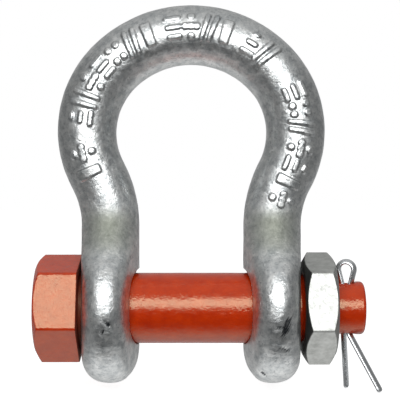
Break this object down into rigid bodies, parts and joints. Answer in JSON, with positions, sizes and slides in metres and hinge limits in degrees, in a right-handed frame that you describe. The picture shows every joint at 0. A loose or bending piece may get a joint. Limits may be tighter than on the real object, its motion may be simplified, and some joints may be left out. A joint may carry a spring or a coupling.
{
  "type": "bow shackle",
  "caption": "Galvanised bow shackle closed by an orange hexagon-headed bolt with a nut and a split pin, for joining lifting and mooring gear.",
  "frame": {"origin": "on the bolt's axis, midway between the two ears of the bow", "axes": "+X along the bolt towards the nut and split pin, +Z along the line of pull from the bolt to the crown of the bow, +Y across the bow's flat side"},
  "size_m": [0.1146, 0.0464, 0.1285],
  "materials": {
    "galvanised_steel": "hot-dip galvanised forging, mottled soft sheen",
    "orange_paint": "satin orange paint with fine orange peel",
    "zinc_plated_steel": "zinc plated, satin",
    "bright_steel": "bright drawn wire, zinc plated"
  },
  "bodies": {
    "bow": {"bow": "galvanised_steel"},
    "bolt": {"bolt": "orange_paint"},
    "nut": {"nut": "zinc_plated_steel"},
    "split_pin": {"split_pin": "bright_steel"}
  },
  "joints": [
    {"name": "bolt_spin", "type": "hinge", "parent": "bow", "child": "bolt", "pos_m": [0, 0, 0], "axis": [1, 0, 0], "continuous": true},
    {"name": "nut_turn", "type": "hinge", "parent": "bolt", "child": "nut", "pos_m": [0.0423, 0, 0], "axis": [1, 0, 0], "range_deg": [-80, 150]},
    {"name": "split_pin_swivel", "type": "hinge", "parent": "bolt", "child": "split_pin", "pos_m": [0.0517, 0, 0], "axis": [0, 0, 1], "range_deg": [-70, 90]}
  ]
}
